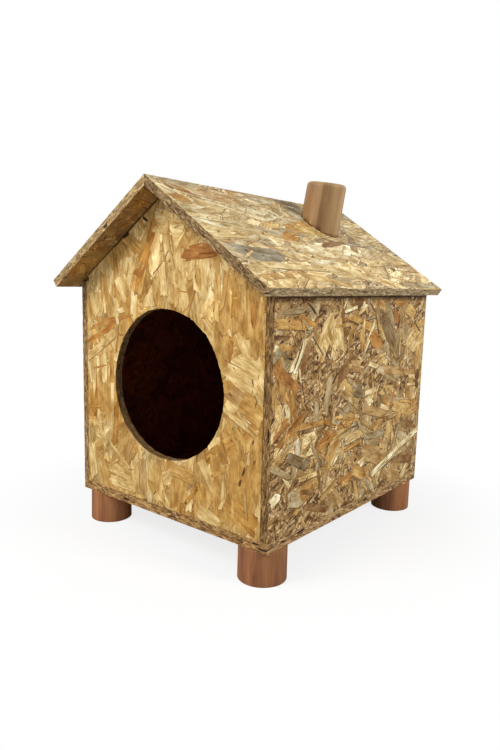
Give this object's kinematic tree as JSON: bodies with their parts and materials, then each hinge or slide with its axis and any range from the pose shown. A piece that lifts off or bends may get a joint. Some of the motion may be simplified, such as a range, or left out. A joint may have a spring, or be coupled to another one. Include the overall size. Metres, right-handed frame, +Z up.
{
  "type": "cat house",
  "caption": "Small house for a cat: strand-board cabin with a round entry in its front gable, a pitched overhanging roof, round wooden feet and a leaning round chimney.",
  "frame": {"origin": "on the floor, under the middle of the roof's outline", "axes": "+Z up, the entry faces -Y, +X to the viewer's right when facing the entry, towards the slope with the chimney"},
  "size_m": [0.3864, 0.445, 0.5105],
  "materials": {
    "strand_board": "sanded strand board, satin",
    "round_wood": "turned post, satin",
    "chimney_wood": "turned post, satin",
    "steel": "plain"
  },
  "bodies": {
    "root": {"base_board": "strand_board", "left_side_panel": "strand_board", "right_side_panel": "strand_board", "front_gable_panel": "strand_board", "back_gable_panel": "strand_board", "left_roof_panel": "strand_board", "right_roof_panel": "strand_board", "foot_front_left": "round_wood", "foot_front_right": "round_wood", "foot_back_left": "round_wood", "foot_back_right": "round_wood", "chimney": "chimney_wood", "left_wall_nails": "steel", "right_wall_nails": "steel", "left_roof_nails": "steel", "right_roof_nails": "steel", "side_floor_nails": "steel", "gable_floor_nails": "steel", "foot_screws": "steel", "chimney_screw": "steel"}
  },
  "joints": []
}
